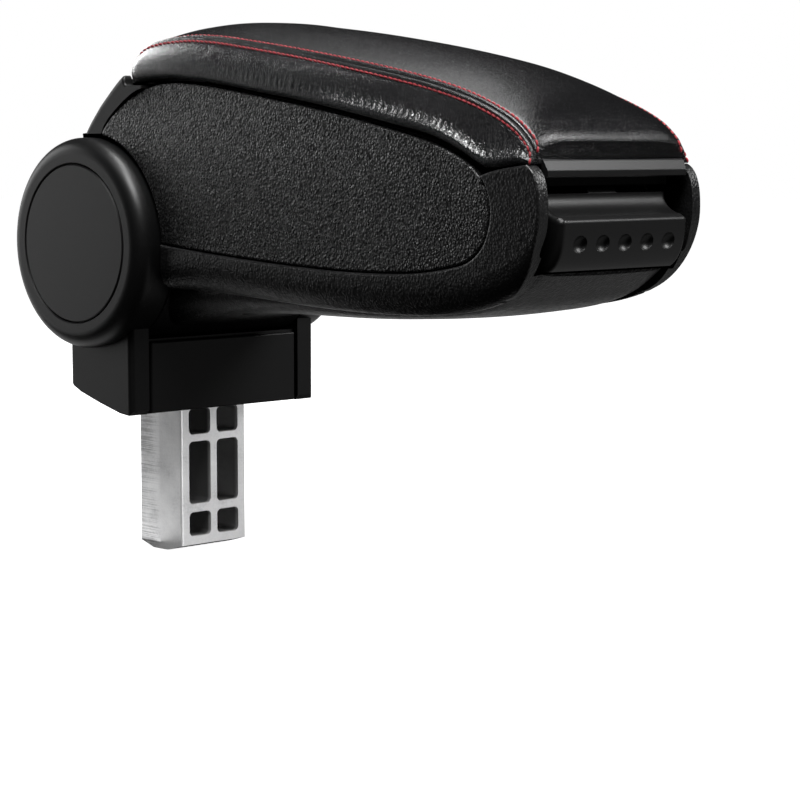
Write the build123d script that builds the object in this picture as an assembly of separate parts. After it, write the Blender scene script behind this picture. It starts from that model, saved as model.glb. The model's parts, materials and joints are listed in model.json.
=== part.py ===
from build123d import *
import math
import os

# Car centre armrest. Millimetres, +X towards the nose, +Y to the vehicle's left, +Z up.
# The profiles below are drawn about the tilt axle and moved at the end,
# so that the origin is the centre of the post's bottom end.

# ---------------------------------------------------------------- driving dimensions
HINGE_X = -4.0            # tilt axle from the post's centre line
HINGE_Z = 136.4           # tilt axle above the post's bottom end
DISC_R = 45.0             # hinge disc and cheek radius
CAP_R = 33.6              # round cap in the disc
SEAT_R = 33.95            # recess the cap sits in
CAP_Y = 62.0              # disc face from the centre plane
CHEEK_IN = 43.0           # inner face of a cheek
CHEEK_OUT = 53.0          # outer face of a cheek
AXLE_R = 6.0
RUN = 0.06                # running clearance on a radius
PANEL_R = 46.7            # side shells and panels are cut to this radius about the axle
DRUM_R = 45.0
DRUM_Y = 42.3
W0 = 54.8                 # arm half-width at the axle
W_TAPER = 0.031           # half-width lost per mm towards the nose
PANEL_DROP = 0.8          # panel sits back from the shell
WALL = 3.0
LID_X, LID_Z = 24.5, 70.5     # lid hinge
LID_PIN_R = 1.3
LEV_X, LEV_Z = 234.0, -3.0    # release lever pivot
LEV_PIN_R = 1.5
SEAM_Y = 43.0             # stitched seam from the centre plane
SKIN = 1.3                # upholstery thickness
POST_W, POST_D = 18.6, 14.5   # post half-width and half-depth
TILT_MAX = 80.0
STOP_R = 29.0             # stop pin's circle about the axle


# ---------------------------------------------------------------- helpers
def edges_xz(segs, y):
    es = []
    for kind, pts in segs:
        v = [Vector(x, y, z) for x, z in pts]
        if kind == "L":
            es += [Edge.make_line(a, b) for a, b in zip(v[:-1], v[1:])]
        elif kind == "S":
            es.append(Edge.make_spline(v))
        elif kind == "A":
            es.append(Edge.make_three_point_arc(v[0], v[1], v[2]))
    return es


def prism(segs, y0, y1):
    lo, hi = min(y0, y1), max(y0, y1)
    return extrude(Face(Wire(edges_xz(segs, lo))), amount=hi - lo, dir=(0, 1, 0))


def poly(pts, y0, y1):
    return prism([("L", list(pts) + [pts[0]])], y0, y1)


def slab(pts, z0, z1):
    v = [Vector(x, y, z0) for x, y in pts]
    v.append(v[0])
    f = Face(Wire([Edge.make_line(a, b) for a, b in zip(v[:-1], v[1:])]))
    return extrude(f, amount=z1 - z0, dir=(0, 0, 1))


def box(x0, x1, y0, y1, z0, z1):
    return Pos((x0 + x1) / 2, (y0 + y1) / 2, (z0 + z1) / 2) * Box(x1 - x0, y1 - y0, z1 - z0)


def rod(x, z, r, y0, y1):
    return Pos(x, (y0 + y1) / 2, z) * Rot(90, 0, 0) * Cylinder(r, abs(y1 - y0))


def stud(x, y, r, z0, z1):
    return Pos(x, y, (z0 + z1) / 2) * Cylinder(r, z1 - z0)


def ring(x, z, r_in, r_out, y0, y1):
    return rod(x, z, r_out, y0, y1) - rod(x, z, r_in, min(y0, y1) - 1, max(y0, y1) + 1)


def turned(pts, arcs=()):
    # section (radius, y) turned about the tilt axle; arcs gives a middle point for the side that starts at that index
    v = [Vector(r, y, 0) for r, y in pts]
    v.append(v[0])
    es = []
    for i, (a, b) in enumerate(zip(v[:-1], v[1:])):
        m = dict(arcs).get(i)
        es.append(Edge.make_three_point_arc(a, Vector(m[0], m[1], 0), b) if m else Edge.make_line(a, b))
    return revolve(Face(Wire(es)), axis=Axis.Y, revolution_arc=360)


def flip(s):
    return mirror(s, about=Plane.XZ)


def one(s):
    # the single solid of a result
    sol = s.solids()
    return max(sol, key=lambda q: q.volume)


def rounded(s, pick, radii):
    es = [e for e in s.edges() if pick(e)]
    for r in radii:
        if not es:
            return s
        try:
            t = fillet(es, r)
            if t.is_valid and t.volume > 0.5 * s.volume:
                return t
        except Exception:
            pass
    return s


def lerp(tab, x):
    if x <= tab[0][0]:
        return tab[0][1]
    for (a, p), (b, q) in zip(tab[:-1], tab[1:]):
        if x <= b:
            return p + (q - p) * (x - a) / (b - a)
    return tab[-1][1]


def arc_pt(r, deg):
    return (r * math.cos(math.radians(deg)), r * math.sin(math.radians(deg)))


def half_w(x):
    return W0 - W_TAPER * x


# ---------------------------------------------------------------- profile data (x, z about the axle)
PANEL_TOP = [(8.6, 46.9), (10.6, 49.6), (17.5, 55.8), (26.3, 61.3), (37.8, 65.6), (52.0, 67.2), (68.5, 66.1), (87.3, 63.6),
             (105.6, 60.7), (124.7, 57.7), (143.3, 54.5), (161.5, 51.0), (179.0, 47.2), (196.0, 43.2),
             (206.9, 39.6), (214.7, 36.1), (220.5, 32.4)]
PANEL_FRONT = [(220.5, 32.4), (224.6, 28.4), (227.4, 23.1), (228.4, 17.6), (227.6, 11.8), (224.7, 5.4), (219.6, 0.6),
               (212.6, -2.3)]
PANEL_LOW = [(212.6, -2.3), (201.4, -4.5), (190.7, -5.8), (179.0, -6.4), (161.3, -6.6), (143.0, -6.2),
             (124.3, -5.3), (105.0, -4.1), (86.6, -2.7), (64.9, -0.8), (46.69, 1.0)]
# lower edge of the side shell
ZB = [(20, -16.5), (45, -17.2), (60, -18.3), (90, -20.1), (115, -21.2), (150, -22.9), (175, -23.2), (190, -22.3), (208, -20.0),
      (220, -17.3), (230, -13.2), (239, -7.2), (246, -0.5), (251, 6.5), (256, 14.0)]
# lower edge of the side shell's own form, fuller at the nose than the bottom shell
ZN = [(20, -16.5), (45, -17.2), (60, -18.3), (90, -20.1), (115, -21.2), (150, -22.9), (175, -23.2), (190, -22.6), (208, -20.9),
      (220, -18.6), (230, -15.6), (239, -11.2), (246, -5.2), (251, 1.0), (256, 8.0)]
# underside of the bottom shell on the centre plane
ZBC = [(28, -36.5), (45, -33.0), (60, -30.6), (80, -28.5), (100, -27.4), (150, -27.2), (173, -26.4), (191, -24.9),
       (208, -22.6), (220, -19.6), (229, -16.0), (236, -11.9), (242, -7.4), (243, -6.6)]
NOSE = [(224.6, 30.9), (229.9, 32.4), (236.9, 33.6), (245.8, 34.7)]
NOSE_FRONT = [(245.8, 34.7), (249.0, 32.2), (251.2, 27.6), (252.2, 20.0), (251.9, 13.3), (249.9, 6.0), (246.6, -1.6), (241.0, -9.0), (228.8, -15.4)]
# underside of the lid on the centre plane
ZL = [(20, 70.9), (29, 71.1), (40, 71.2), (52, 71.0), (68.5, 69.9), (87.3, 67.4), (105.6, 64.4), (124.7, 61.6), (143.3, 58.3),
      (161.5, 54.8), (179.0, 50.9), (196.0, 47.1), (206.9, 43.5), (214.7, 40.6), (222.0, 38.3), (230.0, 37.1),
      (238.0, 36.9), (252.0, 37.0)]
# lower edge of the cushion's sides
ZS = [(20, 67.6), (27, 67.9), (40, 68.6), (52, 69.0), (68.5, 67.9), (87.3, 65.4), (105.6, 62.4), (124.7, 59.6), (143.3, 56.3),
      (161.5, 52.9), (179.0, 49.4), (196.0, 45.9), (206.9, 42.2), (214.7, 38.6), (219.0, 36.4), (222.8, 34.6), (226.0, 33.8),
      (230.7, 34.0), (236.0, 34.8), (242.9, 35.5), (252.0, 35.8)]
SEAM_Z = [(24, 76.5), (27, 80.6), (33, 83.8), (44, 85.4), (57, 85.9), (73, 84.9), (92, 82.5), (114.6, 79.3), (134.4, 76.2),
          (156, 72.6), (178.5, 68.5), (196, 64.8), (213.3, 59.8), (224.5, 55.4), (233.3, 50.9), (239.9, 46.4),
          (244.3, 42.6), (247.0, 39.6), (248.6, 37.8)]
CROWN_Z = [(24, 81.5), (27, 86.2), (33, 90.0), (44, 92.5), (57, 93.2), (73, 92.6), (92, 90.5), (114.6, 87.8), (134.4, 85.0),
           (156, 81.6), (178.5, 77.4), (196, 73.5), (213.3, 68.4), (224.5, 63.4), (233.3, 57.8), (239.9, 52.2),
           (244.3, 47.4), (247.0, 43.6), (248.6, 40.6)]


# ---------------------------------------------------------------- forms
def side_form(off):
    secs = []
    for x in (2, 60, 115, 150, 190, 220, 239, 256):
        zb = lerp(ZN, x)
        inset = 9.5 - 2.5 * max(0.0, min(1.0, (x - 190.0) / 49.0))
        w = half_w(x) - off
        zc = zb + 14.0 - 3.0 * max(0.0, min(1.0, (x - 190.0) / 49.0))
        zt = 86.0
        bulge = lambda z: 0.0011 * (z - 20.0) ** 2
        zm = (zt + zc) / 2
        a = (w - bulge(zt), zt)
        m = (w - bulge(zm), zm)
        c = (w - bulge(zc), zc)
        d = (half_w(x) - inset, zb + off)
        h = zc - zb - off
        r = [Vector(x, -p[0], p[1]) for p in (a, m, c, (c[0], zc - 0.5 * h), (d[0] + 0.47 * inset, d[1]), d)]
        l = [Vector(x, p[0], p[1]) for p in (a, m, c, (c[0], zc - 0.5 * h), (d[0] + 0.47 * inset, d[1]), d)]
        es = [Edge.make_three_point_arc(r[0], r[1], r[2]), Edge.make_bezier(r[2], r[3], r[4], r[5]),
              Edge.make_line(r[5], l[5]), Edge.make_bezier(l[5], l[4], l[3], l[2]),
              Edge.make_three_point_arc(l[2], l[1], l[0]), Edge.make_line(l[0], r[0])]
        secs.append(Wire(es))
    return Solid.make_loft(secs)


def belly_form(off):
    secs = []
    for x in (24, 45, 80, 120, 160, 191, 208, 220, 229, 236, 243):
        yb = min(42.0, half_w(x) - 10.0) - off
        zt = lerp(ZB, x) + 2.0
        zc = lerp(ZBC, x) + off
        h = zt - zc
        # the edge is sharper at the nose, flush with the side shells
        k = max(0.0, min(1.0, (x - 185.0) / 40.0))
        p = [(yb, zt), (yb, zt - 0.62 * h), (yb - 6.0 + 4.0 * k, zc + 0.9 - 0.4 * k), (yb - 15.0 + 3.0 * k, zc + 0.7 - 0.3 * k)]
        r = [Vector(x, -a, b) for a, b in p]
        l = [Vector(x, a, b) for a, b in p]
        es = [Edge.make_bezier(*r), Edge.make_three_point_arc(r[3], Vector(x, 0, zc), l[3]),
              Edge.make_bezier(*l[::-1]), Edge.make_line(l[0], r[0])]
        secs.append(Wire(es))
    return Solid.make_loft(secs)


def cushion_form(off, x0, x1):
    secs = []
    xs = [x for x in (24, 27, 33, 44, 57, 92, 134.4, 178.5, 213.3, 233.3, 239.9, 244.3, 248.6)]
    xs = [min(max(x, x0), x1) for x in xs]
    for x in xs:
        zs = lerp(ZS, x) + off
        zq = lerp(SEAM_Z, x) - off
        zc = lerp(CROWN_Z, x) - off
        w = half_w(x) - off
        h = zq - zs
        sy = SEAM_Y - 0.6 * off
        k = min(1.0, h / 12.0)
        low = (w - 4.2, zs)
        mid = (w - 1.2 - 1.5 * (1 - k), zs + 0.42 * h)
        top = (sy, zq)
        r = [Vector(x, -a, b) for a, b in (low, mid, top)]
        l = [Vector(x, a, b) for a, b in (low, mid, top)]
        es = [Edge.make_three_point_arc(r[0], r[1], r[2]), Edge.make_three_point_arc(r[2], Vector(x, 0, zc), l[2]),
              Edge.make_three_point_arc(l[2], l[1], l[0]), Edge.make_line(l[0], r[0])]
        secs.append(Wire(es))
    return Solid.make_loft(secs, True)


parts = {}

# ---------------------------------------------------------------- base: post
POST_CX = -HINGE_X
PZ0 = -HINGE_Z
post_sec = [(POST_CX - POST_D, -18.3), (POST_CX, -19.0), (POST_CX + POST_D, -POST_W), (POST_CX + POST_D, POST_W),
            (POST_CX, 19.0), (POST_CX - POST_D, 18.3)]
post = slab(post_sec, PZ0, -60.0)
post = rounded(post, lambda e: abs(e.tangent_at(0.5).Z) > 0.99 and abs(e.center().X - POST_CX) > 10, (1.0, 0.7))
# drafted lower end with a flat land
post = post - poly([(POST_CX + 5, PZ0), (POST_CX + 40, PZ0), (POST_CX + 40, PZ0 + 9), (POST_CX + 14.6, PZ0 + 2.6)], -40, 40)
post = post - poly([(POST_CX - 5, PZ0), (POST_CX - 40, PZ0), (POST_CX - 40, PZ0 + 9), (POST_CX - 14.6, PZ0 + 2.6)], -40, 40)
for s in (-1, 1):
    for z0, z1 in ((-130.1, -119.4), (-115.8, -88.0), (-84.9, -73.5)):
        cut = box(POST_CX - POST_D + 4.5, POST_CX + POST_D + 5, 1.8, 14.2, z0, z1)
        cut = fillet(cut.edges().filter_by(Axis.X), 2.2)
        post = post - (cut if s > 0 else flip(cut))
flange = box(-12.0, 22.5, -36.0, 36.0, -64.0, -58.0)
flange = fillet(flange.edges().filter_by(Axis.Z), 5.0)
post = one(post + flange)
BOLTS = [(-6.0, -28.0), (-6.0, 28.0), (16.0, -28.0), (16.0, 28.0)]
for bx, by in BOLTS:
    post = post - stud(bx, by, 3.0, -70, -50)
parts["post"] = one(post)

# ---------------------------------------------------------------- base: housing with cheeks
side = [(27.0, -20.0), (27.0, -70.8), (25.2, -72.9), (19.0, -72.2), (5.0, -68.6), (-8.0, -64.7), (-13.0, -62.4),
        (-14.8, -60.4), (-15.0, -20.0)]
house = poly(side, -52.7, 52.7)
house = rounded(house, lambda e: abs(e.tangent_at(0.5).Z) > 0.98 and e.center().X > 20 and abs(e.center().Y) > 50, (2.4, 2.0, 1.5))
house = rounded(house, lambda e: abs(e.tangent_at(0.5).Z) > 0.98 and e.center().X < -12 and abs(e.center().Y) > 50, (1.6, 1.0))
cheek = rod(0, 0, DISC_R, CHEEK_IN, CHEEK_OUT)
keep = rod(0, 0, DISC_R, -60, 60) + box(-60, 60, -60, 60, -120, -33.0)
house = house & keep
house = house + cheek + flip(cheek)
house = house - rod(0, 0, 47.6, -CHEEK_IN, CHEEK_IN)
# pocket for the front plate
house = house - box(24.5, 30, -CHEEK_IN, CHEEK_IN, -90, -30)
# pocket below for the post's flange, and the bolts' holes
house = house - box(-12.2, 22.7, -36.2, 36.2, -90, -57.95)
house = house - rod(0, 0, AXLE_R + RUN, -60, 60)
STOP = arc_pt(STOP_R, 205.0)
house = house - rod(STOP[0], STOP[1], 3.05, -52.0, -40)
for bx, by in BOLTS:
    house = house - stud(bx, by, 2.55, -60, -50.5)
parts["base_housing"] = one(house)

plate = box(24.7, 26.8, -41.4, 41.4, -72.6, -42.0)
plate = plate & slab([(0, -60), (40, -60), (40, 60), (0, 60)], -72.6, -42.0)
plate = rounded(plate, lambda e: e.center().X > 26.5, (0.7, 0.4))
for s in (-1, 1):
    plate = plate + box(23.9, 24.8, s * 30 - 4, s * 30 + 4, -70.0, -60.0)
parts["base_front_plate"] = one(plate)
parts["base_housing"] = one(parts["base_housing"] - box(23.8, 25, -34.2, -25.8, -70.2, -59.8) - box(23.8, 25, 25.8, 34.2, -70.2, -59.8))

bolt = []
for bx, by in BOLTS:
    b = stud(bx, by, 2.5, -64.0, -51.0) + stud(bx, by, 5.0, -67.0, -64.0)
    b = b - Pos(bx, by, -66.2) * extrude(RegularPolygon(2.3, 6), 1.7, both=True)
    bolt.append(one(b))
parts["post_bolts"] = Compound(children=bolt)

# hinge disc rings and caps
y = CHEEK_OUT + 0.02
k = 7.0 * math.cos(math.radians(45.0))
sec = [(24.0, y), (45.0, y), (45.0, CAP_Y - 7.02), (38.0, CAP_Y - 0.02), (34.5, CAP_Y - 0.02), (SEAT_R, CAP_Y - 0.6), (SEAT_R, CAP_Y - 3.3), (24.0, CAP_Y - 3.3)]
ringd = one(turned(sec, [(2, (38.0 + k, CAP_Y - 7.02 + k))]))
parts["left_disc_ring"] = ringd
parts["right_disc_ring"] = one(flip(ringd))
cap = one(turned([(0.0, CAP_Y - 3.25), (CAP_R, CAP_Y - 3.25), (CAP_R, CAP_Y - 0.5), (CAP_R - 0.5, CAP_Y), (0.0, CAP_Y)]))
parts["left_disc_cap"] = cap
parts["right_disc_cap"] = one(flip(cap))

# axle, nut and washers
axle = rod(0, 0, AXLE_R, -54.2, 58.0)
head = Rot(90, 0, 0) * extrude(RegularPolygon(9.5, 6), 3.6)
axle = axle + Pos(0, -54.2, 0) * head
parts["hinge_axle"] = one(axle)
nut = Pos(0, 58.3, 0) * Rot(90, 0, 0) * extrude(RegularPolygon(9.5, 6), 3.6)
parts["axle_nut"] = one(nut - rod(0, 0, AXLE_R + 0.02, 50, 62))
parts["axle_washers"] = Compound(children=[one(ring(0, 0, AXLE_R + 0.2, 13.0, 53.1, 54.6)), one(ring(0, 0, AXLE_R + 0.2, 13.0, -54.15, -53.1))])
fw = ring(0, 0, AXLE_R + 0.3, 18.0, 41.65, 42.95)
parts["friction_washers"] = Compound(children=[one(fw), one(flip(fw))])
parts["stop_pin"] = one(rod(STOP[0], STOP[1], 3.0, -51.9, -37.2))

# ---------------------------------------------------------------- arm: hinge bracket, bushes and drum
br = rod(0, 0, 12.0, -41.5, 41.5)
plate_pts = [("L", [(-6, -12), (20, -22.5), (52, -18.8), (112, -18.8), (112, -14.6), (52, -14.6), (22, -14.6), (12, 6)]), ("L", [(12, 6), (-6, -12)])]
for s in (-1, 1):
    br = br + rod(0, 0, 38.0, s * 37.6, s * 41.5)
web = prism(plate_pts, -22, 22)
br = br + web
br = br - rod(0, 0, 8.0, -60, 60)
# arc slot for the stop pin, as long as the tilt
a0, a1 = 205.0 - TILT_MAX, 205.0
slot = ring(0, 0, STOP_R - 3.4, STOP_R + 3.4, -44, -35)
wedge = poly([(0, 0), arc_pt(80, a0 - 0.5), arc_pt(90, (a0 + a1) / 2), arc_pt(80, a1 + 0.5)], -44, -35)
slot = slot & wedge
for a in (a0 - 0.5, a1 + 0.5):
    px, pz = arc_pt(STOP_R, a)
    slot = slot + rod(px, pz, 3.4, -44, -35)
br = br - slot
TSCR = [(62, -14), (62, 14), (100, -14), (100, 14)]
for x, yy in TSCR:
    br = br - stud(x, yy, 2.03, -30, -10)
parts["hinge_bracket"] = one(br)
bush = ring(0, 0, AXLE_R + RUN, 7.98, 25.0, 41.5)
parts["pivot_bushes"] = Compound(children=[one(bush), one(flip(bush))])

drum = ring(0, 0, DRUM_R - 2.6, DRUM_R, -DRUM_Y, DRUM_Y)
# the opening reaches further down in the middle, where the bracket passes
for a, w in ((-23.0, 60.0), (-34.0, 26.0)):
    drum = drum - poly([(0, 0), arc_pt(90, a), arc_pt(110, 10), arc_pt(110, 50), arc_pt(90, 79.0)], -w, w)
drum = rounded(drum, lambda e: abs(e.center().Y) > DRUM_Y - 0.01 and e.length > 60 and e.bounding_box().size.X > 85, (0.8, 0.5))
parts["hinge_drum"] = one(drum)

# ---------------------------------------------------------------- arm: shells and panels
SF = side_form(0.0)
SFi = side_form(WALL)
wall = SF - SFi
panel_out = [("S", PANEL_TOP), ("S", PANEL_FRONT), ("S", PANEL_LOW),
             ("A", [PANEL_LOW[-1], arc_pt(PANEL_R, 38.0), arc_pt(PANEL_R, 78.6)]), ("L", [arc_pt(PANEL_R, 78.6), PANEL_TOP[0]])]


def grow(pts, d):
    # a line of points moved sideways by d
    out = []
    for i, p in enumerate(pts):
        a = pts[max(0, i - 1)]
        b = pts[min(len(pts) - 1, i + 1)]
        n = math.hypot(b[0] - a[0], b[1] - a[1])
        out.append((p[0] - (b[1] - a[1]) / n * d, p[1] + (b[0] - a[0]) / n * d))
    return out


pl = grow(PANEL_LOW, 0.45)
pf = [(223.4, 30.5)] + grow(PANEL_FRONT, 0.55)[1:]
pl[0] = pf[-1]
pl[-1] = arc_pt(PANEL_R, 0.7)
shell_out = [("S", pf), ("S", pl), ("A", [pl[-1], arc_pt(PANEL_R, -9.0), arc_pt(PANEL_R, -17.5)]),
             ("L", [arc_pt(PANEL_R, -17.5), (47.5, -20.0), (47.5, -30.0), (228.8, -30.0), NOSE_FRONT[-1]]),
             ("S", NOSE_FRONT[::-1]), ("S", NOSE[::-1]), ("L", [NOSE[0], pf[0]])]
shell_r = (wall & prism(shell_out, -70, -37.0))
# thicker rim at the nose
rim = (SFi - side_form(5.4)) & prism([("S", NOSE_FRONT), ("L", [NOSE_FRONT[-1], (224, -12), (232, 27.0), NOSE[0]]), ("S", NOSE)], -70, -37.0)
shell_r = shell_r + rim
shell_r = shell_r - box(236.0, 262.0, -40.4, 0.0, -5.6, 26.0)
shell_r = shell_r - slab([(20, -42.3), (90.3, -42.3), (262, -(half_w(262) - 10.0) - 0.3), (262, 0), (20, 0)], -60, 14)
shell_r = one(shell_r)


def outer_edge(e):
    c = e.center()
    return c.Y < -(half_w(c.X) - 0.35 - 0.0011 * (c.Z - 20) ** 2) and e.length > 6


shell_r = rounded(shell_r, outer_edge, (1.0, 0.7, 0.4))
parts["right_side_shell"] = one(shell_r)
parts["left_side_shell"] = one(flip(parts["right_side_shell"]))

PF = side_form(PANEL_DROP)
PFi = side_form(PANEL_DROP + WALL)
panel_r = one((PF - PFi) & prism(panel_out, -70, -37.0))


def panel_edge(e):
    c = e.center()
    return c.Y < -(half_w(c.X) - PANEL_DROP - 0.35 - 0.0011 * (c.Z - 20) ** 2) and e.length > 1.0


panel_r = rounded(panel_r, panel_edge, (2.0, 1.5, 1.0, 0.6))
parts["right_side_panel"] = one(panel_r)
parts["left_side_panel"] = one(flip(parts["right_side_panel"]))

BF = belly_form(0.0)
BFi = belly_form(2.5)
belly = BF - BFi
belly = belly - rod(0, 0, DRUM_R + 0.05, -60, 60)
belly = belly & poly([(20, -60), (262, -60), (262, -5.2), (243.5, -5.2), (236, -6.5), (228, -6.5), (215, -5), (20, -5)], -60, 60)
BSCR = [(75, -28), (75, 28), (135, -26), (135, 26), (190, -24), (190, 24)]
for x, yy in BSCR:
    z = lerp(ZBC, x)
    belly = belly + (stud(x, yy, 5.2, z - 3.0, z + 5.6) & BF)
    belly = belly - stud(x, yy, 3.6, z - 6.0, z + 3.6) - stud(x, yy, 1.75, z - 6.0, -10)
parts["bottom_shell"] = one(belly)

# rear cover
RC_OUT = [(-4.3, 46.5), (-2.4, 49.25), (0.5, 52.65), (3.5, 55.8), (6.5, 58.85), (9.5, 61.45), (12.4, 63.95), (15.6, 66.6), (18.8, 69.05), (21.8, 71.0)]
RC_IN = [(35.0, 65.35), (30.0, 63.9), (25.2, 61.6), (17.0, 56.3), (10.0, 50.2), (8.2, 47.6)]
RC_END = [(21.8, 71.0), (23.0, 70.2), (23.55, 68.9), (23.9, 67.6), (25.6, 66.7)]
rc_line = [("S", RC_OUT), ("S", RC_END), ("L", [RC_END[-1], (35.0, 66.6), RC_IN[0]]), ("S", RC_IN),
           ("L", [RC_IN[-1], arc_pt(PANEL_R, 80.5)]), ("A", [arc_pt(PANEL_R, 80.5), arc_pt(PANEL_R, 88), RC_OUT[0]])]
rc = prism(rc_line, -52.2, 52.2)
rc = rounded(rc, lambda e: abs(e.center().Y) > 52 and e.length > 25 and e.center().X < 12 and e.center().Z > 57, (2.6, 2.0, 1.2, 0.6))
rc = rounded(rc, lambda e: abs(e.center().Y) > 49 and 4 < e.length < 8 and 21.5 < e.center().X < 25 and e.center().Z > 67.5, (2.2, 1.6, 1.0, 0.6))
hollow = [(-1.2, 46.8), (1.9, 49.2), (4.8, 51.9), (8.4, 55.1), (12.1, 58.3), (15.8, 61.4), (19.4, 64.2), (21.6, 67.2), (24.0, 72.0), (40, 72), (40, 40), (0, 40)]
rc = rc - poly(hollow, -47.6, 47.6)
# room for the lid's hinge
rc = rc - rod(LID_X, LID_Z, 3.6, -47.6, 47.6) - box(10, 40, -47.6, 47.6, 69.6, 90)
# flange that closes the cover down to the drum
flange_rc = ring(0, 0, DRUM_R + 0.08, PANEL_R + 1.0, -42.0, 42.0) & poly([(0, 0), arc_pt(80, 89.0), arc_pt(80, 95.1)], -60, 60)
rc = rc + flange_rc
for s in (-1, 1):
    lip = ring(0, 0, DRUM_R + 0.16, PANEL_R + 0.5, min(s * 41.0, s * 50.6), max(s * 41.0, s * 50.6))
    rc = rc + (lip & poly([(0, 0), arc_pt(80, 81.0), arc_pt(80, 98.5)], -60, 60))
parts["rear_cover"] = one(rc)

# ---------------------------------------------------------------- arm: storage tray
def tray_w(x):
    return half_w(x) - 8.6


RIM = [(x, lerp(ZL, x) - 3.6) for x in (50, 68.5, 87.3, 105.6, 124.7, 143.3, 161.5, 179, 196, 206.9, 214.7, 222, 228.6)]
t_out = slab([(50, -tray_w(50)), (228.6, -tray_w(228.6)), (228.6, tray_w(228.6)), (50, tray_w(50))], -30, 80)
t_in = slab([(52.2, -tray_w(52.2) + 2.2), (226.4, -tray_w(226.4) + 2.2), (226.4, tray_w(226.4) - 2.2), (52.2, tray_w(52.2) - 2.2)], -40, 90)
t_in = fillet(t_in.edges().filter_by(Axis.Z), 8.0)
t_out = fillet(t_out.edges().filter_by(Axis.Z), 9.0)
t_prof = poly([(50, -14.5), (203, -14.5), (222, -6.0), (228.6, 8.0)] + RIM[::-1], -60, 60)
t_prof_in = poly([(50, -12.3), (202, -12.3), (219.8, -4.0), (226.4, 9.0), (228.6, 9.5), (228.6, 90), (50, 90)], -60, 60)
tray = (t_out & t_prof) - (t_in & t_prof_in)
for x, yy in TSCR:
    tray = tray - stud(x, yy, 2.2, -30, -10)
for x, yy in BSCR:
    z = lerp(ZBC, x) + 5.7
    tray = tray + stud(x, yy, 3.8, z, -14.0) - stud(x, yy, 1.45, z - 1, -13.0)
# two stub seats for the lid buffers on the rim
BUF = [(120.0, 1), (120.0, -1), (205.0, 1), (205.0, -1)]
for x, s in BUF:
    yi, yo = s * (tray_w(x) - 8.0), s * (tray_w(x) - 1.4)
    zt = lerp(RIM, x) - 1.6
    tray = tray + box(x - 4, x + 4, min(yi, yo), max(yi, yo), zt - 5, zt)
parts["storage_tray"] = one(tray)

mat = slab([(54, -tray_w(54) + 4), (201, -tray_w(201) + 4), (201, tray_w(201) - 4), (54, tray_w(54) - 4)], -12.28, -10.8)
mat = fillet(mat.edges().filter_by(Axis.Z), 7.0)
for x, yy in TSCR:
    mat = mat - stud(x, yy, 4.6, -14, -9)
parts["tray_mat"] = one(mat)
scr = []
for x, yy in TSCR:
    s = stud(x, yy, 2.0, -18.0, -12.28) + stud(x, yy, 4.0, -12.28, -10.2)
    s = s - Pos(x, yy, -10.6) * extrude(RegularPolygon(1.9, 6), 0.9, both=True)
    scr.append(one(s))
parts["tray_screws"] = Compound(children=scr)
scr = []
for x, yy in BSCR:
    z = lerp(ZBC, x)
    s = stud(x, yy, 1.4, z + 2.0, -15.0) + stud(x, yy, 3.2, z + 1.5, z + 3.55)
    s = s - box(x - 2.2, x + 2.2, yy - 0.4, yy + 0.4, z, z + 2.4) - box(x - 0.4, x + 0.4, yy - 2.2, yy + 2.2, z, z + 2.4)
    scr.append(one(s))
parts["bottom_screws"] = Compound(children=scr)

buf = []
for x, s in BUF:
    yc = s * (tray_w(x) - 5.0)
    zt = lerp(RIM, x) - 1.6
    buf.append(one(stud(x, yc, 2.2, zt + 0.02, lerp(ZL, x + 2.4) - 2.72)))
parts["lid_buffers"] = Compound(children=buf)

# front fascia behind the lever
fas = box(228.8, 230.4, -37.4, 37.4, -6.0, 32.0)
for s in (-1, 1):
    ear = poly([(230.0, -6.0), (235.5, -6.4), (238.0, -3.5), (237.5, 2.0), (230.0, 6.0)], s * 35.4, s * 37.4)
    fas = fas + ear
fas = fas - rod(LEV_X, LEV_Z, LEV_PIN_R + 0.01, -60, 60)
parts["front_fascia"] = one(fas)
parts["lever_pin"] = one(rod(LEV_X, LEV_Z, LEV_PIN_R, -37.2, 37.2))

# lid hinge bracket on the tray's rear wall, and the pin
hb = box(44.6, 49.9, -38, 38, 46.0, 62.0)
hb = hb + poly([(27.0, 58.6), (45.0, 58.6), (45.0, 61.6), (29.5, 62.6), (27.0, 62.6)], -38, 38)
for yc in (-30.0, 0.0, 30.0):
    hb = hb + rod(LID_X, LID_Z, 2.5, yc - 5, yc + 5) + poly([(27.2, 60.0), (34.0, 60.0), (32.0, 64.5), (26.6, 71.2), (22.9, 68.8)], yc - 5, yc + 5)
hb = hb - rod(LID_X, LID_Z, LID_PIN_R + 0.005, -60, 60)
parts["lid_hinge_bracket"] = one(hb)
parts["lid_hinge_pin"] = one(rod(LID_X, LID_Z, LID_PIN_R, -41.0, 41.0))

# ---------------------------------------------------------------- release lever
LEVER = [("S", [(243.4, 24.0), (244.5, 20.1), (246.9, 17.8), (251.7, 15.9)]), ("L", [(251.7, 15.9), (254.4, 14.4)]),
         ("S", [(254.4, 14.4), (253.9, 9.0), (253.0, 4.0), (251.5, 0.4), (249.6, -2.3), (247.3, -4.2)]),
         ("L", [(247.3, -4.2), (243.0, -4.2), (240.6, 1.0), (240.6, 24.0), (243.4, 24.0)])]
lev = prism(LEVER, -36.4, 36.4)
lev = rounded(lev, lambda e: abs(e.tangent_at(0.5).Y) > 0.99 and e.center().X > 250 and e.center().Z > 13 and e.length > 40, (1.7, 1.2, 0.9))
lev = rounded(lev, lambda e: e.center().X > 246.5 and abs(e.center().Y) > 36 and e.length > 8, (2.4, 1.8, 1.2, 0.8))
for k in range(-2, 3):
    lev = lev - Pos(254.9, 12.7 * k, 5.4) * scale(Sphere(1.0), by=(3.5, 4.3, 3.75))
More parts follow.
